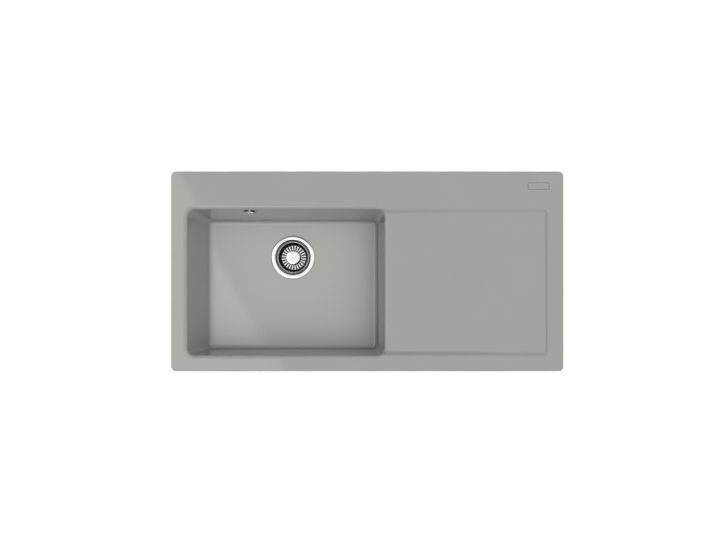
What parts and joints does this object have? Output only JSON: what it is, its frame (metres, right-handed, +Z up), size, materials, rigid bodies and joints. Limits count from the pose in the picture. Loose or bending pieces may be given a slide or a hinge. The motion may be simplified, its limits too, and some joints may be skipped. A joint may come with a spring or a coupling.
{
  "type": "kitchen sink with drainboard",
  "caption": "Glazed ceramic inset kitchen sink: one deep rectangular bowl at the left, a sunk drainboard at the right, a tap ledge, a lift-out basket strainer waste and an overflow.",
  "frame": {"origin": "centre of the worktop cut-out, in the plane of the worktop and of the rim's underside", "axes": "+X along the sink from the bowl to the drainboard, +Y from the front to the tap ledge, +Z up out of the worktop"},
  "size_m": [1, 0.51, 0.294],
  "materials": {
    "glazed_ceramic": "glossy pale grey-white glaze, bare biscuit underneath",
    "polished_steel": "bright polished stainless steel",
    "screw_steel": "turned stainless steel",
    "chrome_plate": "bright chrome plate",
    "insert_brass": "plain turned brass",
    "seal_rubber": "matt black rubber",
    "moulded_plastic": "satin white polypropylene",
    "stopper_plastic": "satin dark grey plastic"
  },
  "bodies": {
    "sink": {"sink_body": "glazed_ceramic", "waste_flange": "polished_steel", "flange_gasket": "seal_rubber", "body_gasket": "seal_rubber", "waste_body": "moulded_plastic", "screw_insert": "insert_brass", "fixing_screw": "screw_steel", "overflow_rosette": "chrome_plate", "overflow_screw": "chrome_plate", "overflow_gasket": "seal_rubber", "overflow_elbow": "moulded_plastic", "overflow_insert": "insert_brass", "upper_slip_nut": "moulded_plastic", "upper_cone_washer": "seal_rubber", "overflow_pipe": "moulded_plastic", "lower_slip_nut": "moulded_plastic", "lower_cone_washer": "seal_rubber"},
    "pin": {"plug_pin": "screw_steel", "pin_o_ring": "seal_rubber", "pin_clip": "screw_steel"},
    "basket": {"strainer_basket": "polished_steel", "basket_knob": "polished_steel", "seal_holder": "stopper_plastic", "basket_seal": "seal_rubber"}
  },
  "joints": [
    {"name": "basket_lift", "type": "slide", "parent": "sink", "child": "basket", "axis": [0, 0, 1], "range_m": [0, 0.25]},
    {"name": "pin_turn", "type": "hinge", "parent": "basket", "child": "pin", "pos_m": [-0.208, 0.0495, -0.2], "axis": [0, 0, 1], "continuous": true}
  ]
}
